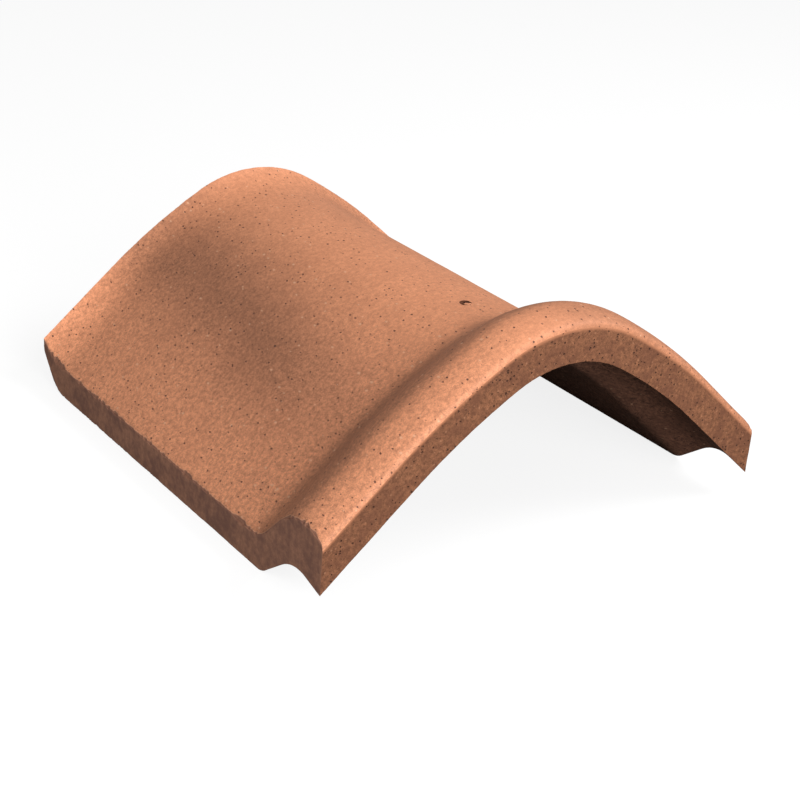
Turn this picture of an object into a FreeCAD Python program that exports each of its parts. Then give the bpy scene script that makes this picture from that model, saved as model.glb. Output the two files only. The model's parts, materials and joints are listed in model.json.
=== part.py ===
import FreeCAD, Part
import math
import os

# Clay ridge tile, pressed and fired in one piece.
# Millimetres and degrees.  X runs across the ridge, Y along it and Z up.  The
# rolled end faces -Y, the flared tail faces +Y, and the two lower edges of the
# body stand on Z = 0.  The origin lies under the middle of the tile.

# Overall size.
LENGTH = 300.0
WIDTH = 274.6
WALL = 13.4

# Arch of the body, measured on its outer skin: a round crown, a long shoulder
# arc on each side, and a straight flank down to the upright side cut.
CROWN_RADIUS = 75.7
CROWN_HALF_ANGLE = 29.2
SHOULDER_RADIUS = 342.4
FLANK_ANGLE = 41.0

# Roll on the outside of the front end.  Its profile is given on the ridge line,
# as distance from the end face and height above the body.
ROLL_HEIGHT = 23.0
ROLL_CREST_OFFSET = 16.0
ROLL_CREST_RADIUS = 33.0
ROLL_EDGE_RADIUS = 3.5
ROLL_BACK_ANGLE = 41.3
ROLL_COVE_RADIUS = 18.0
ROLL_NORMAL_SHARE = 0.48

# Recess under the roll, which laps over the tail of the next tile.  The lip at
# the end face hangs lower than the crest of the recess.
RECESS_DEPTH = 16.6
RECESS_CREST_OFFSET = 19.0
RECESS_CREST_RADIUS = 25.3
RECESS_LIP_ANGLE = 14.0
RECESS_BACK_ANGLE = 34.4
RECESS_COVE_RADIUS = 13.6
RECESS_NORMAL_SHARE = 0.27

# Tail: the outer skin sweeps up to a thin tip, and the underside is bevelled
# up to meet it.  FLARE_REACH is the distance in which the flare falls to 1/e.
FLARE_RISE = 9.0
FLARE_REACH = 10.2
TAIL_LAND = 3.8
TAIL_CORNER_RADIUS = 6.0
TAIL_BEVEL_ANGLE = 44.0
TAIL_FOOT_RADIUS = 24.0

# Nail hole through the crown, on the ridge line behind the roll.
NAIL_HOLE_DIAMETER = 6.0
NAIL_HOLE_OFFSET = 85.0

# Fineness of the two skins.
COLUMNS_PER_SIDE = 20
ARC_STEP = 6.0
BODY_STEP = 12.0
LINE_STEPS = 4


def arch_below_crown(x, offset):
    """Height at x, from the outer crown, of the arch that runs parallel to the outer skin."""
    across = abs(x)
    crown = math.radians(CROWN_HALF_ANGLE)
    flank = math.radians(FLANK_ANGLE)
    step = SHOULDER_RADIUS - CROWN_RADIUS
    shoulder_x = -step * math.sin(crown)
    shoulder_z = -CROWN_RADIUS - step * math.cos(crown)
    if across <= (CROWN_RADIUS + offset) * math.sin(crown):
        return math.sqrt((CROWN_RADIUS + offset) ** 2 - across ** 2) - CROWN_RADIUS
    radius = SHOULDER_RADIUS + offset
    flank_x = shoulder_x + radius * math.sin(flank)
    if across <= flank_x:
        return shoulder_z + math.sqrt(radius ** 2 - (across - shoulder_x) ** 2)
    return shoulder_z + radius * math.cos(flank) - (across - flank_x) * math.tan(flank)


CROWN_HEIGHT = -arch_below_crown(WIDTH / 2, -WALL)


def lifted_arch(x, offset, rise, normal_share):
    """Arch at an offset from the outer skin, raised partly square to it and partly upwards."""
    square = rise * normal_share
    return CROWN_HEIGHT + arch_below_crown(x, offset + square) + rise - square


def arc(centre, radius, start, end):
    """Points along an arc, by the angle in degrees from the first axis of its plane."""
    steps = max(2, math.ceil(abs(end - start) / ARC_STEP))
    angles = [math.radians(start + (end - start) * i / steps) for i in range(steps + 1)]
    return [(centre[0] + radius * math.cos(a), centre[1] + radius * math.sin(a)) for a in angles]


def between(start, end, steps):
    """Points strictly between two points, evenly spaced."""
    shares = [i / steps for i in range(1, steps)]
    return [tuple(a + (b - a) * share for a, b in zip(start, end)) for share in shares]


def fall_to_body(crest, angle, cove_radius):
    """Straight slope and cove from the last point of a crest arc down to height zero."""
    turn = math.radians(angle)
    cove_drop = cove_radius * (1 - math.cos(turn))
    line_run = (crest[1] - cove_drop) / math.tan(turn)
    end = crest[0] + line_run + cove_radius * math.sin(turn)
    cove = arc((end, cove_radius), cove_radius, 270 - angle, 270)
    return between(crest, cove[0], LINE_STEPS) + cove


def roll_profile():
    """Profile of the roll: distance from the end face, and height above the body."""
    centre = (ROLL_CREST_OFFSET, ROLL_HEIGHT - ROLL_CREST_RADIUS)
    across = ROLL_CREST_OFFSET - ROLL_EDGE_RADIUS
    up = math.sqrt((ROLL_CREST_RADIUS - ROLL_EDGE_RADIUS) ** 2 - across ** 2)
    front = math.degrees(math.atan2(up, -across))
    edge = arc((ROLL_EDGE_RADIUS, centre[1] + up), ROLL_EDGE_RADIUS, 180, front)
    crest = arc(centre, ROLL_CREST_RADIUS, front, 90 - ROLL_BACK_ANGLE)
    return edge + crest[1:] + fall_to_body(crest[-1], ROLL_BACK_ANGLE, ROLL_COVE_RADIUS)


def recess_profile():
    """Profile of the recess: distance from the end face, and height above the underside."""
    centre = (RECESS_CREST_OFFSET, RECESS_DEPTH - RECESS_CREST_RADIUS)
    crest = arc(centre, RECESS_CREST_RADIUS, 90 + RECESS_LIP_ANGLE, 90 - RECESS_BACK_ANGLE)
    lip = (0.0, crest[0][1] - crest[0][0] * math.tan(math.radians(RECESS_LIP_ANGLE)))
    front = [lip] + between(lip, crest[0], LINE_STEPS)
    return front + crest + fall_to_body(crest[-1], RECESS_BACK_ANGLE, RECESS_COVE_RADIUS)


def bevel_profile():
    """Underside of the tail: distance from the tip, and share of the way up to it."""
    turn = math.radians(TAIL_BEVEL_ANGLE)
    total = WALL + FLARE_RISE
    corner_centre = (TAIL_CORNER_RADIUS, total - TAIL_LAND)
    corner = arc(corner_centre, TAIL_CORNER_RADIUS, 270 - TAIL_BEVEL_ANGLE, 180)
    foot_rise = TAIL_FOOT_RADIUS * (1 - math.cos(turn))
    line_run = (corner[0][1] - foot_rise) / math.tan(turn)
    foot_end = corner[0][0] + line_run + TAIL_FOOT_RADIUS * math.sin(turn)
    foot = arc((foot_end, TAIL_FOOT_RADIUS), TAIL_FOOT_RADIUS, 270, 270 - TAIL_BEVEL_ANGLE)
    land = between(corner[-1], (0.0, total), LINE_STEPS) + [(0.0, total)]
    points = foot + between(foot[-1], corner[0], LINE_STEPS) + corner + land
    return [(distance, rise / total) for distance, rise in points]


def flare_height(distance):
    """Rise of the outer skin at a distance from the tip of the tail."""
    return FLARE_RISE * math.exp(-distance / FLARE_REACH)


def outer_row(from_front, roll_height):
    """One row of the outer skin, as a function that gives its height at x."""
    flare = flare_height(LENGTH - from_front)
    return lambda x: lifted_arch(x, 0.0, roll_height, ROLL_NORMAL_SHARE) + flare


def inner_row(recess_height, share):
    """One row of the underside; share is how far it has risen to the outer skin's tip."""
    def height(x):
        under = lifted_arch(x, -WALL, recess_height, RECESS_NORMAL_SHARE)
        tip = lifted_arch(x, 0.0, 0.0, ROLL_NORMAL_SHARE) + FLARE_RISE
        return under + share * (tip - under)
    return height


def plain_stations(start, end):
    """Distances strictly between two places on the plain body, closer together near both."""
    steps = max(6, round((end - start) / BODY_STEP))
    return [start + (end - start) * (1 - math.cos(math.pi * i / steps)) / 2 for i in range(1, steps)]


def outer_rows():
    """Rows of the outer skin from the end face to the tip of the tail."""
    roll = roll_profile()
    flare = [FLARE_REACH * share for share in (4.0, 3.0, 2.2, 1.6, 1.1, 0.7, 0.4, 0.2, 0.0)]
    stations = plain_stations(roll[-1][0], LENGTH - flare[0])
    rows = [(distance, outer_row(distance, height)) for distance, height in roll]
    rows += [(distance, outer_row(distance, 0.0)) for distance in stations]
    rows += [(LENGTH - distance, outer_row(LENGTH - distance, 0.0)) for distance in flare]
    return rows


def inner_rows():
    """Rows of the underside from the lip at the end face to the tip of the tail."""
    recess = recess_profile()
    bevel = bevel_profile()
    stations = plain_stations(recess[-1][0], LENGTH - bevel[0][0])
    rows = [(distance, inner_row(height, 0.0)) for distance, height in recess]
    rows += [(distance, inner_row(0.0, 0.0)) for distance in stations]
    rows += [(LENGTH - distance, inner_row(0.0, share)) for distance, share in bevel]
    return rows


def smooth_curve(points, parameters):
    """Smooth curve through the points, reaching each at its own parameter."""
    curve = Part.BSplineCurve()
    curve.interpolate(Points=points, Parameters=parameters)
    return curve


def skin(rows):
    """Smooth surface through rows of points that all share the same places across the tile."""
    count = 2 * COLUMNS_PER_SIDE
    places = [WIDTH * (i / count - 0.5) for i in range(count + 1)]
    grid = []
    for from_front, height in rows:
        y = from_front - LENGTH / 2
        grid.append([FreeCAD.Vector(x, y, height(x)) for x in places])
    ridge = [row[COLUMNS_PER_SIDE] for row in grid]
    travel = [0.0]
    for before, after in zip(ridge, ridge[1:]):
        travel.append(travel[-1] + before.distanceToPoint(after))
    across = [smooth_curve(row, places) for row in grid]
    along = [smooth_curve(list(line), travel) for line in zip(*[row.getPoles() for row in across])]
    surface = Part.BSplineSurface()
    surface.buildFromPolesMultsKnots(
        [list(poles) for poles in zip(*[line.getPoles() for line in along])],
        along[0].getMultiplicities(), across[0].getMultiplicities(),
        along[0].getKnots(), across[0].getKnots(),
        False, False, 3, 3)
    return surface


def flat_face(edges):
    """Plane face inside a closed loop of edges."""
    return Part.Face(Part.Wire(Part.__sortEdges__(edges)))


def tile_body():
    """The whole tile without its nail hole: two skins closed by the end face and side cuts."""
    outer = skin(outer_rows())
    inner = skin(inner_rows())
    first, _, left, right = outer.bounds()
    inner_first, _, inner_left, inner_right = inner.bounds()
    faces = [outer.toShape(), inner.toShape()]
    outer_front = outer.uIso(first)
    inner_front = inner.uIso(inner_first)
    corners = []
    for side, inner_side in ((left, inner_left), (right, inner_right)):
        top = outer.value(first, side)
        bottom = inner.value(inner_first, inner_side)
        upright = Part.LineSegment(bottom, top).toShape()
        corners.append(upright)
        faces.append(flat_face([outer.vIso(side).toShape(), inner.vIso(inner_side).toShape(), upright]))
    faces.append(flat_face([outer_front.toShape(), inner_front.toShape()] + corners))
    shell = Part.makeCompound(faces)
    shell.sewShape()
    solid = Part.makeSolid(shell.Shells[0])
    if solid.Volume < 0:
        solid.reverse()
    return solid


def nail_hole():
    """Upright cutter through the crown."""
    y = NAIL_HOLE_OFFSET - LENGTH / 2
    height = CROWN_HEIGHT + ROLL_HEIGHT
    return Part.makeCylinder(NAIL_HOLE_DIAMETER / 2, height, FreeCAD.Vector(0, y, 0))


def ridge_tile():
    """The finished tile as one solid."""
    return tile_body().cut(nail_hole()).Solids[0]


def main():
    os.makedirs("parts", exist_ok=True)
    tile = ridge_tile()
    tile.exportStep("parts/ridge_tile.step")
    box = tile.BoundBox
    print("ridge_tile valid", tile.isValid(), "volume", round(tile.Volume), "faces", len(tile.Faces))
    print("box", round(box.XLength, 3), round(box.YLength, 3), round(box.ZLength, 3), round(box.ZMin, 4))


main()
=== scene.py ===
"""Looks of a fired clay ridge tile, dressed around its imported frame.

The tile is one piece.  A sheet of clay cells is laid over the tile's plan, pressed onto the
frame's outer skin and underside and closed by upright walls.  Then it is worn: the skins
wander a little and the cut edges crumble.  The nail hole is punched last, and the tongue of
clay that the punch dragged along is joined on in its mouth.  Lengths are in metres, and in
millimetres where a finish says so.
"""

import json
import logging
import math
from collections.abc import Callable
from dataclasses import dataclass, field
from enum import Enum

import bmesh
import bpy
import numpy as np
from mathutils import Matrix, Vector, noise
from mathutils.kdtree import KDTree

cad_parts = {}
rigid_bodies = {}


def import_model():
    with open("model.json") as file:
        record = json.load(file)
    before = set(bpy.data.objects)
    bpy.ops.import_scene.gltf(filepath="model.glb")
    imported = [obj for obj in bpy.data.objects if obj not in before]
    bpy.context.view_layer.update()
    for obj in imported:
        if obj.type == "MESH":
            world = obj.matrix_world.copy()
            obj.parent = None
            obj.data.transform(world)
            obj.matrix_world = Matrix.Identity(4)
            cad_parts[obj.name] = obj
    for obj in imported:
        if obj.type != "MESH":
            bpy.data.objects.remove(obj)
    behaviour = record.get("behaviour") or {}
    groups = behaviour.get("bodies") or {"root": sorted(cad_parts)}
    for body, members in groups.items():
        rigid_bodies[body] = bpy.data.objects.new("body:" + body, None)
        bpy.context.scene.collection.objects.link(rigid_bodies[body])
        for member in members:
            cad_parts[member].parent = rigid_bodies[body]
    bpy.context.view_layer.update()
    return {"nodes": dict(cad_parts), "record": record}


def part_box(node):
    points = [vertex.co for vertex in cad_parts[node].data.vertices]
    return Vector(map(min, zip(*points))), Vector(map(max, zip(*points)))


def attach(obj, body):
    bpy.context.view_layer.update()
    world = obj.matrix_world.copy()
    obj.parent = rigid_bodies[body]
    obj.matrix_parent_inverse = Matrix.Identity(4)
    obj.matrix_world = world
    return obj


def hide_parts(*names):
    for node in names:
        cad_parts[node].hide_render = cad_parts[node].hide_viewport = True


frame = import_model()

LOG = logging.getLogger("ridge_tile")
NODE = "ridge_tile"
MM = 0.001
TOUCHING = 0.001 * MM


# ---------------------------------------------------------------- selection and modifiers


class Element(Enum):
    """What a selection picks."""

    FACE = "FACE"
    EDGE = "EDGE"


def only(piece: bpy.types.Object) -> None:
    """Make one object the only selected and active one."""
    for other in bpy.context.view_layer.objects:
        other.select_set(False)
    piece.select_set(True)
    bpy.context.view_layer.objects.active = piece


class EditMode:
    """Edit mode on one object, as a with block that gives its bmesh."""

    def __init__(self, piece: bpy.types.Object) -> None:
        """Remember the object that is edited."""
        self.piece = piece

    def __enter__(self) -> bmesh.types.BMesh:
        """Open edit mode with nothing selected."""
        only(self.piece)
        bpy.ops.object.mode_set(mode="EDIT")
        bpy.ops.mesh.select_mode(type="FACE")
        bpy.ops.mesh.select_all(action="DESELECT")
        return bmesh.from_edit_mesh(self.piece.data)

    def __exit__(self, *_: object) -> None:
        """Go back to object mode."""
        bpy.ops.object.mode_set(mode="OBJECT")


def select(piece: bpy.types.Object, kind: Element, chosen: Callable[..., bool]) -> int:
    """Select the faces or edges of the edited mesh that a test picks, and nothing else.

    Args:
        piece: The object in edit mode.
        kind: Whether faces or edges are picked.
        chosen: Says of one bmesh face or edge whether it is picked.

    Returns:
        How many were picked.
    """
    bpy.ops.mesh.select_mode(type=kind.value)
    bpy.ops.mesh.select_all(action="DESELECT")
    mesh = bmesh.from_edit_mesh(piece.data)
    elements = mesh.faces if kind is Element.FACE else mesh.edges
    picked = [element for element in elements if chosen(element)]
    for element in picked:
        element.select_set(True)
    bmesh.update_edit_mesh(piece.data)
    return len(picked)


def apply(piece: bpy.types.Object, kind: str, **settings: object) -> None:
    """Add a modifier, set it up and apply it.

    Args:
        piece: The object to change.
        kind: The modifier's type.
        settings: Its properties by name.
    """
    only(piece)
    modifier = piece.modifiers.new(kind.lower(), kind)
    for name, value in settings.items():
        setattr(modifier, name, value)
    bpy.ops.object.modifier_apply(modifier=modifier.name)


def weigh(piece: bpy.types.Object, name: str, weights: np.ndarray) -> str:
    """Store one weight for each vertex as a vertex group, to the nearest hundredth.

    Args:
        piece: The object that gets the group.
        name: The group's name.
        weights: A weight for each vertex, which counts from 0 to 1.

    Returns:
        The group's name, as Blender took it.
    """
    group = piece.vertex_groups.new(name=name)
    levels = np.round(np.clip(weights, 0, 1), 2)
    for level in np.unique(levels[levels > 0]):
        group.add(np.nonzero(levels == level)[0].tolist(), float(level), "REPLACE")
    return group.name


def places(piece: bpy.types.Object) -> np.ndarray:
    """The object's vertices as an array with a row for each."""
    values = np.empty(len(piece.data.vertices) * 3, np.float32)
    piece.data.vertices.foreach_get("co", values)
    return values.reshape(-1, 3).astype(float)


def inward(spots: np.ndarray, low: Vector, high: Vector) -> np.ndarray:
    """How far in plan each place lies inside the nearest side of a box.

    Args:
        spots: An array with a row for each place.
        low: The box's lowest corner.
        high: The box's highest corner.

    Returns:
        The distances.
    """
    return np.minimum(spots[:, :2] - np.array(low[:2]), np.array(high[:2]) - spots[:, :2]).min(axis=1)


# ---------------------------------------------------------------- the tile's shape


class Skin(Enum):
    """The two skins of the clay sheet."""

    OUTER = "outer"
    UNDER = "under"


class Zone(Enum):
    """Parts of the tile's surface, each with a finish in the material slot of its number."""

    SKIN = 0
    SIDE_CUT = 1
    END_FACE = 2
    UNDERSIDE = 3
    BORE = 4


@dataclass
class NailHole:
    """The nail hole through the crown, as the frame's record places it.

    Its mouth widens over rim_depth by about rim_flare, unevenly.  The burr is the tongue of
    clay in the mouth: its sizes are half lengths, and its place is from the hole's centre.
    """

    centre: Vector
    radius: float
    sides: int = 40
    rim_flare: float = 0.55 * MM
    rim_depth: float = 1.1 * MM
    rim_rings: tuple[float, ...] = (1.0, 0.35)
    rim_limit: float = 2.0
    ragged_mean: float = 0.75
    ragged_sway: float = 0.9
    ragged_size: float = 1.6 * MM
    burr_size: tuple[float, float, float] = (2.3 * MM, 1.2 * MM, 0.45 * MM)
    burr_at: tuple[float, float] = (0.35 * MM, -1.5 * MM)
    burr_sunk: float = 0.15 * MM
    burr_turn: float = math.radians(-32)
    burr_rounds: int = 4
    lump_size: float = 0.9 * MM
    lump_depth: float = 0.5 * MM
    lump_level: float = 0.6

    @classmethod
    def from_record(cls, record: dict) -> "NailHole":
        """Read the hole from the record's mounts.

        Args:
            record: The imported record.

        Returns:
            The hole at its real place and size.
        """
        mount = next(m for m in record["mounts"] if m["name"] == "nail_hole")
        return cls(Vector(mount["pos_m"]), mount["dims"]["r_mm"] * MM)

    def near(self, point: Vector, reach: float) -> bool:
        """Whether a point lies within a reach of the hole's axis."""
        return math.hypot(point.x - self.centre.x, point.y - self.centre.y) < reach

    def cutter(self, crown: float, depth: float) -> bpy.types.Object:
        """Model the punch: a round shaft that widens unevenly towards the crown.

        Args:
            crown: Height of the outer skin at the hole.
            depth: How far the punch reaches below and above that skin.

        Returns:
            The punch, ready to be cut out of the tile.
        """
        bpy.ops.mesh.primitive_cylinder_add(
            vertices=self.sides, radius=self.radius, depth=2 * depth,
            location=(self.centre.x, self.centre.y, crown))
        punch = bpy.context.object
        punch.name = "punch"
        only(punch)
        bpy.ops.object.transform_apply(location=True, rotation=True, scale=True)
        with EditMode(punch):
            for share in self.rim_rings:
                bpy.ops.mesh.select_all(action="SELECT")
                bpy.ops.mesh.bisect(plane_co=(0, 0, crown - share * self.rim_depth), plane_no=(0, 0, 1))
            mesh = bmesh.from_edit_mesh(punch.data)
            for vertex in mesh.verts:
                above = vertex.co.z - (crown - self.rim_depth)
                if above > TOUCHING:
                    self.widen(vertex, above)
            bmesh.update_edit_mesh(punch.data)
        return punch

    def widen(self, vertex: bmesh.types.BMVert, above: float) -> None:
        """Move a vertex of the punch away from its axis.

        Args:
            vertex: The vertex.
            above: How far it lies above the foot of the flare.
        """
        ragged = self.ragged_mean + self.ragged_sway * noise.noise(vertex.co / self.ragged_size)
        spread = 1 + min(above / self.rim_depth, self.rim_limit) * ragged * self.rim_flare / self.radius
        vertex.co.x = self.centre.x + (vertex.co.x - self.centre.x) * spread
        vertex.co.y = self.centre.y + (vertex.co.y - self.centre.y) * spread

    def burr(self, crown: float) -> bpy.types.Object:
        """Model the tongue of clay that the punch dragged across the mouth of the hole.

        Args:
            crown: Height of the outer skin at the hole.

        Returns:
            The tongue, lying in the mouth.
        """
        place = (self.centre.x + self.burr_at[0], self.centre.y + self.burr_at[1], crown - self.burr_sunk)
        bpy.ops.mesh.primitive_ico_sphere_add(
            subdivisions=self.burr_rounds, radius=1, rotation=(0, 0, self.burr_turn), location=place)
        burr = bpy.context.object
        burr.name = "burr"
        burr.scale = self.burr_size
        only(burr)
        bpy.ops.object.transform_apply(location=True, rotation=True, scale=True)
        texture = bpy.data.textures.new("burr", "CLOUDS")
        texture.noise_scale = self.lump_size
        apply(
            burr, "DISPLACE", texture=texture, texture_coords="LOCAL",
            strength=self.lump_depth, mid_level=self.lump_level)
        return burr


@dataclass
class Pattern:
    """The frame's tile as the pattern that the clay is pressed onto."""

    node: bpy.types.Object
    hole: NailHole
    bore_slack: float = 0.05 * MM
    bore_slope: float = 0.5

    def build(self) -> bpy.types.Object:
        """Copy the node's mesh, weld its loose triangles and close its nail hole.

        Returns:
            The pattern, a closed surface with no hole through the crown.
        """
        pattern = bpy.data.objects.new("pattern", self.node.data.copy())
        bpy.context.scene.collection.objects.link(pattern)
        with EditMode(pattern):
            bpy.ops.mesh.select_all(action="SELECT")
            bpy.ops.mesh.remove_doubles(threshold=TOUCHING)
            walls = select(pattern, Element.FACE, self.is_bore)
            bpy.ops.mesh.delete(type="FACE")
            for upper in (True, False):
                select(
                    pattern, Element.EDGE,
                    lambda edge: edge.is_boundary and (edge.verts[0].co.z > self.hole.centre.z) == upper)
                bpy.ops.mesh.edge_face_add()
        LOG.info("pattern: %d faces, %d bore faces closed over", len(pattern.data.polygons), walls)
        return pattern

    def is_bore(self, face: bmesh.types.BMFace) -> bool:
        """Whether a face belongs to the wall of the nail hole."""
        reach = self.hole.radius + self.bore_slack
        steep = abs(face.normal.z) < self.bore_slope
        return steep and all(self.hole.near(vertex.co, reach) for vertex in face.verts)


@dataclass
class ClaySheet:
    """The sheet of clay cells that is pressed onto the pattern.

    It stops short of the box by the inset.  Within each of the border bands its cells are
    halved.  Its walls get wall_cuts rows, and arris_cuts more in the topmost row of a side.
    """

    low: Vector
    high: Vector
    cell: float = 2.45 * MM
    inset: float = 0.02 * MM
    border_bands: tuple[float, ...] = (7.0 * MM, 3.2 * MM)
    wall_cuts: int = 13
    least_wall: float = 2.0 * MM
    arris_cuts: int = 3
    least_hang: float = 0.5 * MM
    topside_slope: float = 0.3
    smoothing: float = 0.5
    smoothing_rounds: int = 8
    kept_sharp: float = 0.1 * MM
    sharp_to_smooth: float = 2.0 * MM

    def lay(self) -> bpy.types.Object:
        """Lay a flat sheet over the plan, with finer cells along its borders.

        Returns:
            The sheet, as a slab whose faces lie well above and below the tile.
        """
        size = self.high - self.low
        wide, long = size.x - 2 * self.inset, size.y - 2 * self.inset
        middle = (self.low + self.high) / 2
        above = 2 * self.high.z
        bpy.ops.mesh.primitive_grid_add(
            x_subdivisions=round(wide / self.cell), y_subdivisions=round(long / self.cell),
            size=1, location=(middle.x, middle.y, above))
        sheet = bpy.context.object
        sheet.name = "fired_tile"
        sheet.scale = (wide, long, 1)
        only(sheet)
        bpy.ops.object.transform_apply(location=True, rotation=True, scale=True)
        with EditMode(sheet):
            for band in self.border_bands:
                select(
                    sheet, Element.FACE,
                    lambda face: self.to_border(face.calc_center_median()) < band)
                bpy.ops.mesh.subdivide(number_cuts=1, ngon=False)
            bpy.ops.mesh.select_all(action="SELECT")
            bpy.ops.mesh.extrude_region_move(TRANSFORM_OT_translate={"value": (0, 0, -2 * above)})
            bpy.ops.mesh.select_all(action="SELECT")
            bpy.ops.mesh.normals_make_consistent(inside=False)
        return sheet

    def to_border(self, point: Vector) -> float:
        """Distance in plan from a point to the nearest side of the box."""
        return min(point.x - self.low.x, self.high.x - point.x, point.y - self.low.y, self.high.y - point.y)

    def press(self, sheet: bpy.types.Object, pattern: bpy.types.Object) -> None:
        """Press the slab's two faces onto the pattern's two skins and ease out the facets.

        Args:
            sheet: The slab from lay.
            pattern: The pattern to press it onto.
        """
        upper = places(sheet)[:, 2] > 0
        for skin, chosen in ((Skin.OUTER, upper), (Skin.UNDER, ~upper)):
            apply(
                sheet, "SHRINKWRAP", target=pattern, wrap_method="PROJECT",
                vertex_group=weigh(sheet, skin.value, chosen.astype(float)),
                use_project_z=True, use_negative_direction=skin is Skin.OUTER,
                use_positive_direction=skin is Skin.UNDER)
        border = inward(places(sheet), self.low, self.high)
        inner = weigh(sheet, "away_from_border", (border - self.kept_sharp) / self.sharp_to_smooth)
        apply(sheet, "SMOOTH", factor=self.smoothing, iterations=self.smoothing_rounds, vertex_group=inner)

    def raise_walls(self, sheet: bpy.types.Object) -> None:
        """Divide the upright walls into rows of cells, closer under the side cuts' upper arris."""
        with EditMode(sheet):
            select(sheet, Element.EDGE, self.is_wall)
            bpy.ops.mesh.subdivide(number_cuts=self.wall_cuts)
            select(sheet, Element.EDGE, self.hangs_from_arris)
            bpy.ops.mesh.subdivide(number_cuts=self.arris_cuts)

    def is_wall(self, edge: bmesh.types.BMEdge) -> bool:
        """Whether an edge stands upright on the sheet's border and is long enough to divide."""
        span = edge.verts[1].co - edge.verts[0].co
        on_border = self.to_border(edge.verts[0].co) < 2 * self.inset
        return on_border and math.hypot(span.x, span.y) < TOUCHING and abs(span.z) > self.least_wall

    def hangs_from_arris(self, edge: bmesh.types.BMEdge) -> bool:
        """Whether an edge is the topmost upright one of its column on a side cut."""
        top, foot = sorted(edge.verts, key=lambda vertex: -vertex.co.z)
        span = top.co - foot.co
        at_side = min(top.co.x - self.low.x, self.high.x - top.co.x) < 2 * self.inset
        upright = math.hypot(span.x, span.y) < TOUCHING and span.z > self.least_hang
        return at_side and upright and any(face.normal.z > self.topside_slope for face in top.link_faces)


@dataclass
class Crumble:
    """How the fired arris breaks away: scallops with cusps, a few chips and a fine roughness.

    The break is a bevel.  Its width at a place along the arris is the depth that bite gives
    there, and it fades over the same width on both faces.
    """

    notch_depth: float = 1.05 * MM
    notch_spacing: float = 3.2 * MM
    notch_width: float = 0.40
    notch_curve: float = 0.6
    sway_mean: float = 0.8
    sway_reach: float = 1.0
    sway_stretch: float = 2.3
    sway_shift: tuple[float, float, float] = (5, 9, 2)
    chip_depth: float = 1.0 * MM
    chip_spacing: float = 13.0 * MM
    chip_level: float = 0.28
    chip_steepness: float = 5.0
    chip_shift: tuple[float, float, float] = (31, 7, 13)
    grain_depth: float = 0.40 * MM
    grain_size: float = 1.4 * MM
    least: float = 0.06 * MM
    most: float = 2.2 * MM

    def bite(self, spot: Vector) -> float:
        """How wide the bevel is at one place on a fully worn arris.

        Args:
            spot: The place.

        Returns:
            The width in metres.
        """
        wave = abs(noise.noise(spot / self.notch_spacing))
        slow = noise.noise(spot / (self.sway_stretch * self.notch_spacing) + Vector(self.sway_shift))
        sway = self.sway_mean + self.sway_reach * slow
        notch = self.notch_depth * sway * min(1.0, wave / self.notch_width) ** self.notch_curve
        swell = noise.noise(spot / self.chip_spacing + Vector(self.chip_shift))
        chip = self.chip_depth * min(1.0, max(0.0, swell - self.chip_level) * self.chip_steepness)
        grain = self.grain_depth * (0.5 + 0.5 * noise.noise(spot / self.grain_size))
        return min(self.most, self.least + notch + chip + grain)


@dataclass
class Wander:
    """The slow unevenness that drying and firing leave on every face, inwards only."""

    size: float = 60.0 * MM
    depth: float = 0.45 * MM

    def apply_to(self, tile: bpy.types.Object, share: np.ndarray) -> None:
        """Sink the tile's faces by a slow noise.

        Args:
            tile: The tile.
            share: For each vertex, how much of the noise it takes.
        """
        texture = bpy.data.textures.new("wander", "CLOUDS")
        texture.noise_scale = self.size
        texture.noise_depth = 1
        apply(
            tile, "DISPLACE", texture=texture, texture_coords="LOCAL", direction="NORMAL",
            strength=self.depth, mid_level=1.0, vertex_group=weigh(tile, "wander", share))


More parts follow.
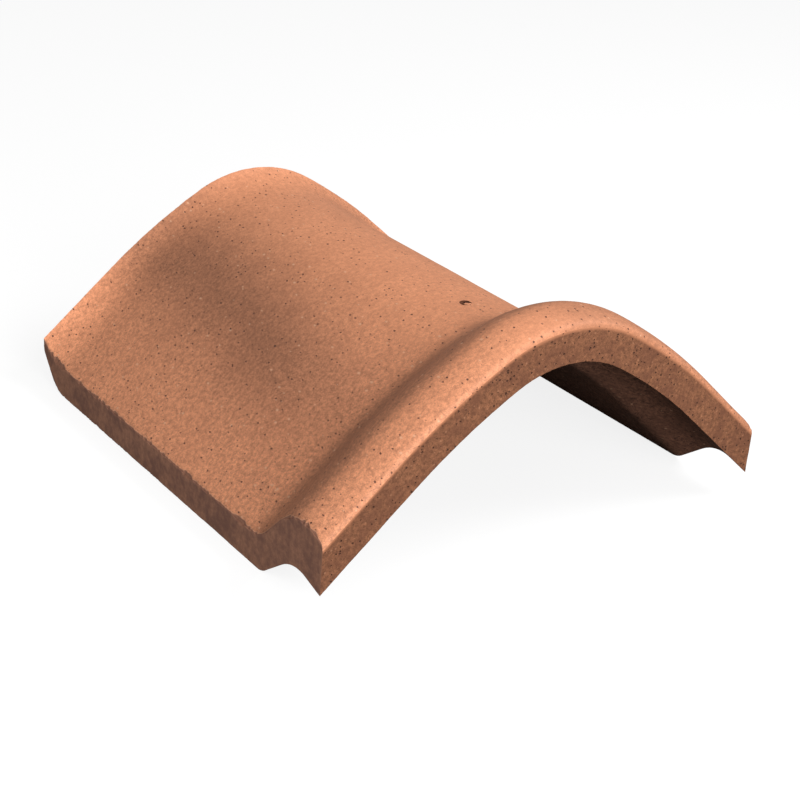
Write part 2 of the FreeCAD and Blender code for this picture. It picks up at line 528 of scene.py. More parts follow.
@dataclass
class RidgeTile:
    """The whole tile: one piece of fired clay.

    Each wear is a share of the full crumble: on the upper arris of the side cuts, on their
    foot, with less of that on the right, on the two ends and at the four corners.
    """

    node: bpy.types.Object
    low: Vector
    high: Vector
    hole: NailHole
    crumble: Crumble = field(default_factory=Crumble)
    wander: Wander = field(default_factory=Wander)
    still_border: float = 14 * MM
    wear_top: float = 1.0
    wear_foot: float = 0.5
    wear_right_foot: float = 0.35
    wear_tail: float = 0.2
    wear_roll: float = 0.1
    wear_corner: float = 0.15
    arris_angle: float = math.radians(38)
    smooth_angle: float = math.radians(44)
    at_border: float = 1 * MM
    on_border: float = 0.1 * MM
    same_place: float = 0.01 * MM
    off_the_rim: float = 50.0
    crown_reach: float = 3 * MM
    punch_reach: float = 20 * MM
    bore_reach: float = 0.8 * MM
    bore_slope: float = 0.8
    cut_slope: float = 0.9

    def build(self) -> bpy.types.Object:
        """Press, wall, wear and punch the tile.

        Returns:
            The finished tile, at the origin, with the finish of its zone on every face.
        """
        pattern = Pattern(self.node, self.hole).build()
        sheet = ClaySheet(self.low, self.high)
        tile = sheet.lay()
        sheet.press(tile, pattern)
        sheet.raise_walls(tile)
        bpy.data.objects.remove(pattern)
        self.mark_zones(tile)
        clean = places(tile)
        self.wander.apply_to(tile, inward(clean, self.low, self.high) / self.still_border)
        self.wear(tile, clean)
        self.mark_rim(tile, clean)
        self.punch(tile)
        only(tile)
        bpy.ops.object.shade_smooth_by_angle(angle=self.smooth_angle)
        LOG.info("tile: %d triangles", sum(len(f.vertices) - 2 for f in tile.data.polygons))
        return tile

    def to_side(self, spot: Vector) -> float:
        """Distance from a place to the nearer of the two long sides."""
        return min(spot.x - self.low.x, self.high.x - spot.x)

    def mark_zones(self, tile: bpy.types.Object) -> None:
        """Give every face of the clean tile the finish of its zone."""
        for zone in Zone:
            tile.data.materials.append(FINISHES[zone].build())
        for face in tile.data.polygons:
            centre, normal = face.center, face.normal
            zone = Zone.SKIN if normal.z > 0 else Zone.UNDERSIDE
            if abs(normal.x) > self.cut_slope and self.to_side(centre) < self.on_border:
                zone = Zone.SIDE_CUT
            elif normal.y < -self.cut_slope and centre.y - self.low.y < self.on_border:
                zone = Zone.END_FACE
            face.material_index = zone.value

    def arris_points(self, tile: bpy.types.Object) -> list[int]:
        """Find the vertices that lie on the tile's sharp edges.

        Args:
            tile: The tile, with its walls divided.

        Returns:
            The vertices' numbers.
        """
        sharp = set()
        with EditMode(tile) as mesh:
            for edge in mesh.edges:
                if len(edge.link_faces) == 2 and edge.calc_face_angle() > self.arris_angle:
                    sharp.update(vertex.index for vertex in edge.verts)
        return sorted(sharp)

    def wear_share(self, spot: Vector, foot: bool) -> float:
        """How worn the arris is at a place, as a share of full wear.

        Args:
            spot: A place on the arris.
            foot: Whether it belongs to the underside.

        Returns:
            0 for a crisp arris, 1 for a fully worn one.
        """
        at_side = self.to_side(spot) < self.at_border
        at_end = min(spot.y - self.low.y, self.high.y - spot.y) < self.at_border
        if at_side and at_end:
            return self.wear_corner
        if at_side and foot:
            along = (spot.y - self.low.y) / (self.high.y - self.low.y)
            side = 1.0 if spot.x < 0 else self.wear_right_foot
            return side * self.wear_foot * along
        if at_side:
            return self.wear_top
        return self.wear_roll if spot.y < 0 else self.wear_tail

    def wear_depths(self, tile: bpy.types.Object, clean: np.ndarray) -> tuple[np.ndarray, np.ndarray]:
        """Work out how deep each vertex is worn.

        Args:
            tile: The tile.
            clean: Where its vertices were before any wear.

        Returns:
            The depths.  Then -1 or 1 for each vertex round a side cut's upper arris, by the
            side that it is on, and 0 for the others.
        """
        sharp = self.arris_points(tile)
        tree = KDTree(len(sharp))
        for index in sharp:
            tree.insert(clean[index], index)
        tree.balance()
        under = tile.vertex_groups[Skin.UNDER.value].index
        feet = {v.index for v in tile.data.vertices
                if any(g.group == under and g.weight > 0.5 for g in v.groups)}
        depth = np.zeros(len(clean))
        side = np.zeros(len(clean))
        for index, spot in enumerate(clean):
            nearest, root, distance = tree.find(spot)
            if distance > self.crumble.most:
                continue
            foot = root in feet
            bite = self.crumble.bite(nearest) * self.wear_share(nearest, foot)
            depth[index] = max(0.0, bite - distance)
            if not foot and self.to_side(nearest) < self.at_border:
                side[index] = math.copysign(1.0, nearest.x)
            elif distance < self.same_place:
                # The arris itself moves along the slant between its faces, so it moves less.
                depth[index] *= math.sqrt(0.5)
        return depth, side

    def wear(self, tile: bpy.types.Object, clean: np.ndarray) -> None:
        """Break the arrises into a ragged bevel and store how deep each place is worn.

        Args:
            tile: The tile.
            clean: Where its vertices were before any wear.
        """
        depth, side = self.wear_depths(tile, clean)
        # Along their normals, the points of a deep bevel would fold over each other.  So round
        # the side cuts' upper arris they all go down and inwards, by half the depth each way.
        for direction, turned, share in (
                ("NORMAL", -1, np.where(side == 0, depth, 0)),
                ("Z", -1, np.where(side != 0, depth / 2, 0)),
                ("X", 1, np.where(side < 0, depth / 2, 0)),
                ("X", -1, np.where(side > 0, depth / 2, 0))):
            apply(
                tile, "DISPLACE", direction=direction, mid_level=0.0,
                strength=turned * self.crumble.most,
                vertex_group=weigh(tile, "wear", share / self.crumble.most))
        worn = tile.data.attributes.new("worn", "FLOAT", "POINT")
        worn.data.foreach_set("value", (depth / MM).astype(np.float32))

    def mark_rim(self, tile: bpy.types.Object, clean: np.ndarray) -> None:
        """Store how far each point of the end face lies below the roll's edge, in millimetres.

        Args:
            tile: The tile.
            clean: Where its vertices were before any wear.
        """
        front = np.nonzero(clean[:, 1] < self.low.y + self.on_border)[0]
        order = np.lexsort((-clean[front, 2], np.round(clean[front, 0], 6)))
        front = front[order]
        across = np.round(clean[front, 0], 6)
        column = np.concatenate(([0], np.cumsum(np.abs(np.diff(across)) > self.same_place)))
        crest = np.maximum.reduceat(
            clean[front, 2], np.concatenate(([0], np.nonzero(np.diff(column))[0] + 1)))
        below = np.full(len(clean), self.off_the_rim)
        below[front] = (crest[column] - clean[front, 2]) / MM
        rim = tile.data.attributes.new("below_rim", "FLOAT", "POINT")
        rim.data.foreach_set("value", below.astype(np.float32))

    def punch(self, tile: bpy.types.Object) -> None:
        """Cut the nail hole through the crown, mark its wall and join the tongue on in its mouth."""
        crown = max(v.co.z for v in tile.data.vertices if self.hole.near(v.co, self.crown_reach))
        punch = self.hole.cutter(crown, self.punch_reach)
        apply(tile, "BOOLEAN", operation="DIFFERENCE", solver="EXACT", object=punch)
        bpy.data.objects.remove(punch)
        reach = self.hole.radius + self.bore_reach
        for face in tile.data.polygons:
            if self.hole.near(face.center, reach) and abs(face.normal.z) < self.bore_slope:
                face.material_index = Zone.BORE.value
        # The tongue has no material of its own, so its faces take the first slot, the skin's.
        burr = self.hole.burr(crown)
        apply(tile, "BOOLEAN", operation="UNION", solver="EXACT", object=burr)
        bpy.data.objects.remove(burr)

    def dress(self, tile: bpy.types.Object) -> None:
        """Put the tile into the frame in place of its node."""
        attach(tile, "root")
        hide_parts(NODE)


# ---------------------------------------------------------------- finishes


class Wiring:
    """Short ways to add and join the nodes of one shader tree."""

    def __init__(self, tree: bpy.types.NodeTree) -> None:
        """Remember the tree."""
        self.tree = tree

    def feed(self, socket: bpy.types.NodeSocket, value: object) -> None:
        """Link a socket to another node's output, or set its value."""
        if isinstance(value, bpy.types.NodeSocket):
            self.tree.links.new(value, socket)
        elif isinstance(value, tuple) and len(value) == 3 and socket.type == "RGBA":
            socket.default_value = (*value, 1)
        else:
            socket.default_value = value

    def add(self, kind: str, settings: dict | None = None, **feeds: object) -> bpy.types.Node:
        """Add a node.

        Args:
            kind: The node's type without its ShaderNode prefix.
            settings: Properties to set on it, by name.
            feeds: Values or outputs for its inputs, by name with _ for a space.

        Returns:
            The node.
        """
        node = self.tree.nodes.new("ShaderNode" + kind)
        for name, value in (settings or {}).items():
            setattr(node, name, value)
        for name, value in feeds.items():
            self.feed(node.inputs[name.replace("_", " ")], value)
        return node

    def reckon(self, operation: str, first: object, second: object = 0.0) -> bpy.types.NodeSocket:
        """Work out one number from one or two with a math node."""
        node = self.tree.nodes.new("ShaderNodeMath")
        node.operation = operation
        self.feed(node.inputs[0], first)
        self.feed(node.inputs[1], second)
        return node.outputs[0]

    def plus(self, first: object, second: object) -> bpy.types.NodeSocket:
        """Add two numbers."""
        return self.reckon("ADD", first, second)

    def minus(self, first: object, second: object) -> bpy.types.NodeSocket:
        """Take the second number from the first."""
        return self.reckon("SUBTRACT", first, second)

    def times(self, first: object, second: object) -> bpy.types.NodeSocket:
        """Multiply two numbers."""
        return self.reckon("MULTIPLY", first, second)

    def over(self, first: object, second: object) -> bpy.types.NodeSocket:
        """Divide the first number by the second."""
        return self.reckon("DIVIDE", first, second)

    def weighted(
            self, first: object, first_share: float, second: object,
            second_share: float) -> bpy.types.NodeSocket:
        """Add a share of one number to a share of another."""
        return self.plus(self.times(first, first_share), self.times(second, second_share))

    def scaled(self, vector: object, factor: object) -> bpy.types.NodeSocket:
        """Scale a vector or a colour."""
        node = self.tree.nodes.new("ShaderNodeVectorMath")
        node.operation = "SCALE"
        self.feed(node.inputs["Vector"], vector)
        self.feed(node.inputs["Scale"], factor)
        return node.outputs[0]

    def stretched(self, vector: object, factors: tuple, added: object) -> bpy.types.NodeSocket:
        """Scale a vector by a factor for each axis and add another vector or number."""
        node = self.tree.nodes.new("ShaderNodeVectorMath")
        node.operation = "MULTIPLY_ADD"
        self.feed(node.inputs[0], vector)
        self.feed(node.inputs[1], factors)
        self.feed(node.inputs[2], added)
        return node.outputs[0]

    def ramp(self, value: object, low: float, high: float, to: tuple = (0.0, 1.0)) -> bpy.types.NodeSocket:
        """Ease a value between two levels onto another pair of levels."""
        node = self.add(
            "MapRange", {"interpolation_type": "SMOOTHSTEP"}, Value=value, From_Min=low, From_Max=high,
            To_Min=to[0], To_Max=to[1])
        return node.outputs["Result"]

    def blend(self, share: object, first: object, second: object) -> bpy.types.NodeSocket:
        """Mix two colours, where a share of 1 is all of the second."""
        node = self.tree.nodes.new("ShaderNodeMix")
        node.data_type = "RGBA"
        self.feed(node.inputs[0], share)
        self.feed(node.inputs[6], first)
        self.feed(node.inputs[7], second)
        return node.outputs[2]

    def place(self) -> bpy.types.NodeSocket:
        """Object coordinates in millimetres."""
        return self.scaled(self.add("TexCoord").outputs["Object"], 1 / MM)

    def spot(self) -> bpy.types.bpy_prop_collection:
        """Object coordinates in millimetres, as separate X, Y and Z."""
        return self.add("SeparateXYZ", Vector=self.place()).outputs

    def stored(self, name: str) -> bpy.types.NodeSocket:
        """A number that is stored on the tile's vertices."""
        return self.add("Attribute", {"attribute_name": name}).outputs["Fac"]

    def noise(self, vector: object, scale: float, detail: float, roughness: float) -> bpy.types.NodeSocket:
        """Noise from 0 to 1, with scale waves in a millimetre of the vector."""
        node = self.add("TexNoise", Vector=vector, Scale=scale, Detail=detail, Roughness=roughness)
        return node.outputs[0]


class Effect:
    """A shader node group that several finishes share."""

    name = "effect"
    takes: tuple[str, ...] = ()
    gives: tuple[str, ...] = ()

    @classmethod
    def group(cls) -> bpy.types.NodeTree:
        """The effect's node group, made when it is first asked for."""
        found = bpy.data.node_groups.get(cls.name)
        if found:
            return found
        tree = bpy.data.node_groups.new(cls.name, "ShaderNodeTree")
        for name in cls.takes:
            tree.interface.new_socket(name=name, in_out="INPUT", socket_type="NodeSocketFloat")
        for name in cls.gives:
            tree.interface.new_socket(name=name, in_out="OUTPUT", socket_type="NodeSocketFloat")
        wiring = Wiring(tree)
        entry = tree.nodes.new("NodeGroupInput").outputs
        results = cls.wire(wiring, entry)
        leave = tree.nodes.new("NodeGroupOutput").inputs
        for name, value in zip(cls.gives, results):
            wiring.feed(leave[name], value)
        return tree

    @classmethod
    def wire(cls, wiring: Wiring, entry: object) -> tuple:
        """Wire the group's inside and return its outputs in order."""
        raise NotImplementedError

    @classmethod
    def use(cls, wiring: Wiring, **values: object) -> bpy.types.bpy_prop_collection:
        """Put the effect into a tree.

        Args:
            wiring: The tree that uses it.
            values: Values for its inputs.

        Returns:
            Its outputs.
        """
        return wiring.add("Group", {"node_tree": cls.group()}, **values).outputs


class Grain(Effect):
    """Sand and clay body: fine grain, broader mottle and the relief of both.

    Each noise is given by its waves in a millimetre, its detail and its roughness.
    """

    name = "clay_grain"
    takes = ("Size",)
    gives = ("Fine", "Mottle", "Relief")
    coarse_noise = (0.45, 6.0, 0.78)
    sand_noise = (1.9, 1.0, 0.5)
    broad_noise = (0.21, 2.5, 0.6)
    slow_noise = (0.045, 2.0, 0.5)
    fine_levels = (0.29, 0.71)
    mottle_levels = (0.36, 0.64)

    @classmethod
    def wire(cls, wiring: Wiring, entry: object) -> tuple:
        """Wire four sizes of noise."""
        vector = wiring.scaled(wiring.place(), wiring.over(1.0, entry["Size"]))
        coarse = wiring.noise(vector, *cls.coarse_noise)
        sand = wiring.noise(vector, *cls.sand_noise)
        broad = wiring.noise(vector, *cls.broad_noise)
        slow = wiring.noise(vector, *cls.slow_noise)
        fine = wiring.weighted(coarse, 0.75, sand, 0.25)
        mottle = wiring.weighted(broad, 0.55, slow, 0.45)
        relief = wiring.weighted(fine, 0.6, broad, 0.8)
        return wiring.ramp(fine, *cls.fine_levels), wiring.ramp(mottle, *cls.mottle_levels), relief


class Spots(Effect):
    """Scattered ragged spots, for pinholes, pits and pale specks.

    The shift gives each use a scatter of its own.  A spot's radius is the given one times a
    size between the two in sizes, and its border is soft between the two levels in border.
    """

    name = "clay_spots"
    takes = ("Spacing", "Radius", "Shift")
    gives = ("Mask",)
    ragged_scale = 1.1
    ragged_reach = 0.7
    stretch = (1.0, 0.66, 1.0)
    chances = (0.3, 1.0)
    sizes = (0.1, 1.5)
    border = (0.65, 1.1)

    @classmethod
    def wire(cls, wiring: Wiring, entry: object) -> tuple:
        """Wire spots round scattered points, each of its own size."""
        place = wiring.place()
        stir = wiring.add("TexNoise", Vector=place, Scale=cls.ragged_scale, Detail=1.0).outputs["Color"]
        moved = wiring.stretched(stir, (cls.ragged_reach,) * 3, place)
        shifted = wiring.stretched(moved, cls.stretch, entry["Shift"])
        vector = wiring.scaled(shifted, wiring.over(1.0, entry["Spacing"]))
        cells = wiring.add("TexVoronoi", Vector=vector, Scale=1.0, Randomness=1.0)
        away = wiring.times(cells.outputs["Distance"], entry["Spacing"])
        chance = wiring.add("SeparateColor", Color=cells.outputs["Color"]).outputs[0]
        reach = wiring.times(entry["Radius"], wiring.ramp(chance, *cls.chances, cls.sizes))
        return (wiring.ramp(wiring.over(away, reach), *cls.border, (1.0, 0.0)),)


class Broken(Effect):
    """Where the arris has crumbled, and its deep notches for painted shade, from the wear stored on the tile
    in millimetres.
    """

    name = "clay_broken"
    gives = ("Mask", "DeepShade")
    mask_levels = (0.04, 0.25)
    deep_levels = (0.28, 0.62)

    @classmethod
    def wire(cls, wiring: Wiring, entry: object) -> tuple:
        """Wire the wear's two levels."""
        worn = wiring.stored("worn")
        return wiring.ramp(worn, *cls.mask_levels), wiring.ramp(worn, *cls.deep_levels)


@dataclass(frozen=True)
class PaintedLightAndShade:
    """Slow changes of tone over the skin, mostly painted light and shade.  Sizes are in millimetres.

    A darker patch lies along each slope, stronger on the left.  The hollow behind the roll gets
    painted shade, with more of it on the crown, and so does the right half of the roll.  The
    outer corners of the tail get painted light and are paler.  A pair of places is where a
    change starts and is complete.
    """

    drift_noise: tuple[float, float, float] = (0.022, 3.0, 0.55)
    drift_reach: float = 26.0
    patch_left: float = 0.46
    patch_right: float = 0.12
    patch_sides: tuple[float, float] = (-12.0, 12.0)
    patch_across: tuple[float, float] = (84.0, 66.0)
    patch_along: tuple[float, float] = (-70.0, 90.0)
    patch_half_width: float = 28.0
    patch_rise: tuple[float, float] = (-140.0, 12.0)
    patch_end: tuple[float, float] = (126.0, 146.0)
    patch_kept: float = 0.62
    corner_painted_light: float = 0.25
    corner_across: tuple[float, float] = (72.0, 112.0)
    corner_along: tuple[float, float] = (116.0, 136.0)
    hollow_shade: float = 0.32
    hollow_from: tuple[float, float] = (-134.0, -122.0)
    hollow_to: tuple[float, float] = (-98.0, -85.0)
    hollow_drift: float = 0.12
    crown_shade: float = 0.25
    crown_across: tuple[float, float] = (6.0, 28.0)
    crown_from: tuple[float, float] = (-116.0, -108.0)
    crown_to: tuple[float, float] = (-94.0, -76.0)
    roll_shade: float = 0.24
    roll_across: tuple[float, float] = (-25.0, 15.0)
    roll_along: tuple[float, float] = (-136.0, -126.0)

    def wire(self, wiring: Wiring) -> bpy.types.NodeSocket:
        """Wire the factor that multiplies the skin's colour.

        Args:
            wiring: The skin's tree.

        Returns:
            The factor, 1 where the skin has no painted light, painted shade or patch.
        """
        spot = wiring.spot()
        across = wiring.reckon("ABSOLUTE", spot["X"])
        drift = wiring.noise(wiring.place(), *self.drift_noise)
        sway = wiring.times(wiring.minus(drift, 0.5), self.drift_reach)
        slopes = wiring.plus(self.patch(wiring, spot, across, sway), self.crown(wiring, spot, across))
        roll_end = wiring.plus(self.hollow(wiring, spot, sway), self.roll(wiring, spot))
        # Painted shade and the darker patch darken; the tail's corners then add painted light.
        dark = wiring.plus(slopes, roll_end)
        return wiring.plus(wiring.minus(1.0, dark), self.corners(wiring, spot, across))

    def patch(self, wiring: Wiring, spot: object, across: object, sway: object) -> bpy.types.NodeSocket:
        """Wire the darker patch: a bell across each slope that fades towards both ends."""
        middle = wiring.ramp(spot["Y"], *self.patch_along, self.patch_across)
        away = wiring.over(wiring.minus(wiring.plus(across, sway), middle), self.patch_half_width)
        bell = wiring.reckon("EXPONENT", wiring.times(wiring.times(away, away), -1.0))
        side = wiring.ramp(spot["X"], *self.patch_sides, (self.patch_left, self.patch_right))
        rise = wiring.ramp(wiring.plus(spot["Y"], sway), *self.patch_rise)
        end = wiring.ramp(spot["Y"], *self.patch_end, (1.0, self.patch_kept))
        return wiring.times(wiring.times(bell, side), wiring.times(rise, end))

    def corners(self, wiring: Wiring, spot: object, across: object) -> bpy.types.NodeSocket:
        """Wire the painted light on the outer corners of the tail, which makes them paler."""
        wide = wiring.ramp(across, *self.corner_across, (0.0, self.corner_painted_light))
        return wiring.times(wide, wiring.ramp(spot["Y"], *self.corner_along))

    def hollow(self, wiring: Wiring, spot: object, sway: object) -> bpy.types.NodeSocket:
        """Wire the painted shade in the hollow behind the roll."""
        near = wiring.plus(spot["Y"], wiring.times(sway, self.hollow_drift))
        return wiring.times(
            wiring.ramp(near, *self.hollow_from, (0.0, self.hollow_shade)),
            wiring.ramp(near, *self.hollow_to, (1.0, 0.0)))

    def crown(self, wiring: Wiring, spot: object, across: object) -> bpy.types.NodeSocket:
        """Wire the extra painted shade of the hollow on the crown."""
        shade = wiring.times(
            wiring.ramp(across, *self.crown_across, (self.crown_shade, 0.0)),
            wiring.ramp(spot["Y"], *self.crown_to, (1.0, 0.0)))
        return wiring.times(shade, wiring.ramp(spot["Y"], *self.crown_from))

    def roll(self, wiring: Wiring, spot: object) -> bpy.types.NodeSocket:
        """Wire the painted shade on the right half of the roll."""
        return wiring.times(
            wiring.ramp(spot["X"], *self.roll_across, (0.0, self.roll_shade)),
            wiring.ramp(spot["Y"], *self.roll_along, (1.0, 0.0)))


@dataclass(frozen=True)
class Clay:
    """Fired clay as one zone of the tile shows it.  Sizes are in millimetres.

    The grain runs from the colour darkened to the colour lightened by the contrast.  A calm
    crown has less of that contrast within the first of two distances from the ridge line, and
    more beyond the second.  Pins are pinholes darkened with painted shade, and specks are pale
    grains.
    """

    name: str
    colour: tuple[float, float, float]
    contrast: float = 0.42
    calm_crown: float = 0.0
    calm_across: tuple[float, float] = (15.0, 85.0)
    mottle_colour: tuple[float, float, float] = (0.52, 0.20, 0.10)
    mottle: float = 0.25
    grain: float = 1.0
    relief: float = 0.09
    # Painted shade in the pinholes.
    pin_shade_colour: tuple[float, float, float] = (0.05, 0.018, 0.012)
    pin_spacing: float = 2.4
    pin_radius: float = 0.38
    pin_darkness: float = 0.82
    pin_depth: float = 0.25
    pin_shift: float = 3.0
    speck_colour: tuple[float, float, float] = (0.86, 0.52, 0.33)
    speck_spacing: float = 3.9
    speck_radius: float = 0.5
    speck_share: float = 0.45
    speck_shift: float = 41.0
    broken_colour: tuple[float, float, float] = (0.30, 0.12, 0.065)
    broken_share: float = 0.4
    # Painted shade in the deepest notches of the broken arris.
    deep_shade_colour: tuple[float, float, float] = (0.13, 0.058, 0.038)
    deep_shade_share: float = 0.4
    rim_colour: tuple[float, float, float] | None = None
    rim_reach: float = 2.6
    rim_share: float = 0.9
    shade: PaintedLightAndShade | None = None
    roughness: float = 0.88
    specular: float = 0.25

    def toned(self, factor: float) -> tuple[float, float, float]:
        """The base colour, lightened or darkened, with no channel over 1."""
        return tuple(min(1.0, channel * factor) for channel in self.colour)

    def build(self) -> bpy.types.Material:
        """Make the material.

        Returns:
            The material, with its one Principled BSDF.
        """
        material = bpy.data.materials.new(self.name)
        material.use_nodes = True
        wiring = Wiring(material.node_tree)
        shader = material.node_tree.nodes["Principled BSDF"]
        grain = Grain.use(wiring, Size=self.grain)
        pins = Spots.use(
            wiring, Spacing=self.pin_spacing, Radius=self.pin_radius, Shift=self.pin_shift)["Mask"]
        tone = self.mark(wiring, self.body(wiring, grain))
        # The pinholes are darkened with painted shade.
        tone = wiring.blend(wiring.times(pins, self.pin_darkness), tone, self.pin_shade_colour)
        height = wiring.minus(
            wiring.times(grain["Relief"], self.relief), wiring.times(pins, self.pin_depth))
        bump = wiring.add("Bump", Strength=1.0, Distance=MM, Height=height)
        wiring.feed(shader.inputs["Base Color"], tone)
        wiring.feed(shader.inputs["Roughness"], self.roughness)
        wiring.feed(shader.inputs["Specular IOR Level"], self.specular)
        wiring.feed(shader.inputs["Normal"], bump.outputs["Normal"])
        return material

    def body(self, wiring: Wiring, grain: bpy.types.bpy_prop_collection) -> bpy.types.NodeSocket:
        """Wire the colour of the clay: its grain and its mottle, with the painted light and shade and the
        darker patch.

        Args:
            wiring: The material's tree.
            grain: The outputs of the grain.

        Returns:
            The colour.
        """
        fine = grain["Fine"]
        if self.calm_crown:
            across = wiring.reckon("ABSOLUTE", wiring.spot()["X"])
            lively = wiring.ramp(across, *self.calm_across, (1 - self.calm_crown, 1 + self.calm_crown))
            fine = wiring.plus(wiring.times(wiring.minus(fine, 0.5), lively), 0.5)
        tone = wiring.blend(fine, self.toned(1 - self.contrast), self.toned(1 + self.contrast))
        tone = wiring.blend(wiring.times(grain["Mottle"], self.mottle), tone, self.mottle_colour)
        if self.shade:
            # Painted light and shade, with the darker patch, scale the colour.
            tone = wiring.scaled(tone, self.shade.wire(wiring))
        return tone

    def mark(self, wiring: Wiring, tone: bpy.types.NodeSocket) -> bpy.types.NodeSocket:
        """Wire what lies over the clay's colour: the paler rim, the specks, the broken arris and painted
        shade in its deepest notches.

        Args:
            wiring: The material's tree.
            tone: The colour of the clay, with any painted light and shade.

        Returns:
            The marked colour.
        """
        if self.rim_colour:
            rim = wiring.ramp(wiring.stored("below_rim"), 0.0, self.rim_reach, (self.rim_share, 0.0))
            tone = wiring.blend(rim, tone, self.rim_colour)
        specks = Spots.use(
            wiring, Spacing=self.speck_spacing, Radius=self.speck_radius, Shift=self.speck_shift)["Mask"]
        broken = Broken.use(wiring)
        tone = wiring.blend(wiring.times(specks, self.speck_share), tone, self.speck_colour)
        tone = wiring.blend(wiring.times(broken["Mask"], self.broken_share), tone, self.broken_colour)
        # The deepest notches get painted shade.
        return wiring.blend(wiring.times(broken["DeepShade"], self.deep_shade_share), tone, self.deep_shade_colour)


FINISHES = {
    # The skin gets painted light and shade with a darker patch, and painted shade in the deepest notches of
    # its arris.
    Zone.SKIN: Clay(
        "clay_skin", (0.715, 0.292, 0.148), contrast=0.38, calm_crown=0.3, roughness=0.64,
        specular=0.5, broken_colour=(0.82, 0.43, 0.27), deep_shade_colour=(0.25, 0.115, 0.075),
        deep_shade_share=0.85, shade=PaintedLightAndShade()),
    Zone.SIDE_CUT: Clay(
        "clay_side_cut", (0.45, 0.218, 0.138), contrast=0.22, mottle_colour=(0.24, 0.118, 0.088),
        mottle=0.8, pin_spacing=5.0, speck_share=0.3, relief=0.10),
    Zone.END_FACE: Clay(
        "clay_end_face", (0.249, 0.103, 0.051), contrast=0.66, mottle_colour=(0.155, 0.06, 0.033),
        mottle=0.7, grain=0.95, relief=0.30, pin_spacing=2.1, pin_radius=0.42, pin_depth=0.5,
        speck_colour=(0.52, 0.25, 0.14), speck_spacing=2.6, speck_radius=0.4, speck_share=0.4,
        rim_colour=(0.50, 0.205, 0.105), rim_reach=2.2),
    Zone.UNDERSIDE: Clay(
        "clay_underside", (0.25, 0.112, 0.068), contrast=0.9, mottle_colour=(0.15, 0.065, 0.04),
        mottle=0.6, grain=1.1, relief=0.25, speck_share=0.4),
    # The bore's clay wall is painted near black: painted shade inside the hole.
    Zone.BORE: Clay("clay_bore_painted_shade", (0.05, 0.02, 0.013), relief=0.1, speck_share=0.0),
}


# ---------------------------------------------------------------- studio


def bearing(turn: float, rise: float) -> Vector:
    """The direction from the tile to something that stands round it.

    Args:
        turn: Degrees round the tile from its rolled end, towards its right side.
        rise: Degrees above the floor.

    Returns:
        The direction, of length 1.
    """
    turned, raised = math.radians(turn), math.radians(rise)
    out = math.cos(raised)
    return Vector((math.sin(turned) * out, -math.cos(turned) * out, math.sin(raised)))


@dataclass
class Lamp:
    """A soft square lamp, given by where it stands as seen from the tile."""

    name: str
    turn: float
    rise: float
    distance: float
    size: float
    power: float

    def build(self, aim: Vector) -> None:
        """Place the lamp and point it at the tile.

        Args:
            aim: The point that the lamp faces.
        """
        light = bpy.data.lights.new(self.name, "AREA")
        light.size = self.size
        light.energy = self.power
        lamp = bpy.data.objects.new(self.name, light)
        towards = bearing(self.turn, self.rise)
        lamp.location = aim + towards * self.distance
        lamp.rotation_euler = towards.to_track_quat("Z", "Y").to_euler()
        bpy.context.scene.collection.objects.link(lamp)


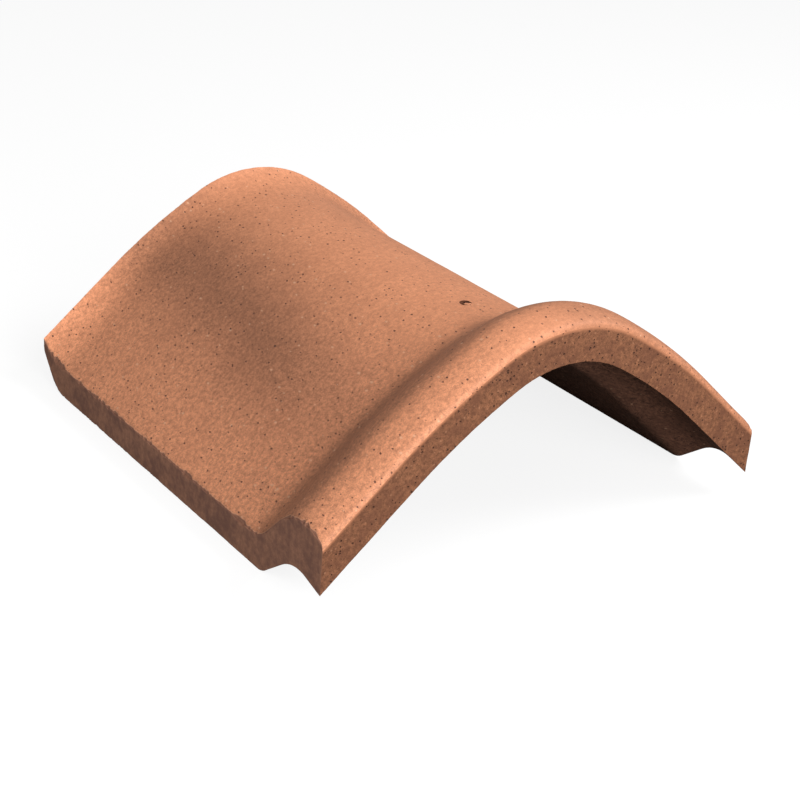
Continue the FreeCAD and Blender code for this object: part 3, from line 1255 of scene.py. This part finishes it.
@dataclass
class Studio:
    """Pale floor, soft lamps, white surround and the camera."""

    floor_size: float = 12.0
    camera_turn: float = -36.82
    camera_rise: float = 24.59
    camera_roll: float = 4.62
    camera_distance: float = 0.9544
    camera_aim: Vector = field(default_factory=lambda: Vector((-0.0018, -0.0180, 0.0301)))
    lens: float = 77.8
    sensor: float = 36.0
    floor_glow: float = 0.84
    floor_seen: float = 0.22
    floor_bounce: float = 0.12
    sky: float = 0.28
    lamp_aim: Vector = field(default_factory=lambda: Vector((0, 0, 0.06)))
    lamps: tuple[Lamp, ...] = (
        Lamp("front_low", -10, 20, 1.5, 0.7, 15.6),
        Lamp("right", 55, 45, 1.5, 0.7, 12.6),
        Lamp("left", -60, 45, 1.5, 0.7, 4.6),
    )

    def build(self) -> None:
        """Set up the whole studio."""
        self.floor()
        self.world()
        for lamp in self.lamps:
            lamp.build(self.lamp_aim)
        self.camera()
        bpy.context.scene.view_settings.view_transform = "Standard"

    def floor(self) -> None:
        """Lay the floor: pale with a faint shadow to the camera, dull to the light that leaves it."""
        bpy.ops.mesh.primitive_plane_add(size=self.floor_size, location=(0, 0, 0))
        floor = bpy.context.object
        floor.name = "floor"
        material = bpy.data.materials.new("studio_floor")
        material.use_nodes = True
        tree = material.node_tree
        tree.nodes.clear()
        wiring = Wiring(tree)
        seen = wiring.add("AddShader")
        wiring.feed(seen.inputs[0], wiring.add("Emission", Strength=self.floor_glow).outputs[0])
        wiring.feed(seen.inputs[1], wiring.add("BsdfDiffuse", Color=(self.floor_seen,) * 3).outputs[0])
        dull = wiring.add("BsdfDiffuse", Color=(self.floor_bounce,) * 3)
        mix = wiring.add("MixShader", Fac=wiring.add("LightPath").outputs["Is Camera Ray"])
        wiring.feed(mix.inputs[1], dull.outputs[0])
        wiring.feed(mix.inputs[2], seen.outputs[0])
        wiring.add("OutputMaterial", Surface=mix.outputs[0])
        floor.data.materials.append(material)

    def world(self) -> None:
        """White surround to the camera, even grey light for the tile."""
        world = bpy.data.worlds.new("surround")
        bpy.context.scene.world = world
        world.use_nodes = True
        tree = world.node_tree
        background = tree.nodes["Background"]
        background.inputs["Color"].default_value = (1, 1, 1, 1)
        paths = tree.nodes.new("ShaderNodeLightPath")
        choose = tree.nodes.new("ShaderNodeMix")
        choose.inputs["A"].default_value = self.sky
        choose.inputs["B"].default_value = 1.0
        tree.links.new(paths.outputs["Is Camera Ray"], choose.inputs["Factor"])
        tree.links.new(choose.outputs["Result"], background.inputs["Strength"])

    def camera(self) -> None:
        """Stand the camera at the front left, a little above the tile."""
        view = bpy.data.cameras.new("camera")
        view.lens = self.lens
        view.sensor_width = self.sensor
        camera = bpy.data.objects.new("camera", view)
        back = bearing(self.camera_turn, self.camera_rise)
        level = Vector((0, 0, 1)).cross(back).normalized()
        upright = back.cross(level)
        axes = Matrix((level, upright, back)).transposed().to_4x4()
        lean = Matrix.Rotation(math.radians(self.camera_roll), 4, "Z")
        camera.matrix_world = Matrix.Translation(self.camera_aim + back * self.camera_distance) @ axes @ lean
        bpy.context.scene.collection.objects.link(camera)
        bpy.context.scene.camera = camera


def main() -> None:
    """Build the tile, dress it and set up the studio."""
    logging.basicConfig(level=logging.INFO, format="%(name)s: %(message)s")
    low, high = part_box(NODE)
    tile_maker = RidgeTile(frame["nodes"][NODE], low, high, NailHole.from_record(frame["record"]))
    tile = tile_maker.build()
    tile_maker.dress(tile)
    LOG.info("ridge tile dressed")
    Studio().build()
    LOG.info("studio ready")


if __name__ == "__main__":
    main()
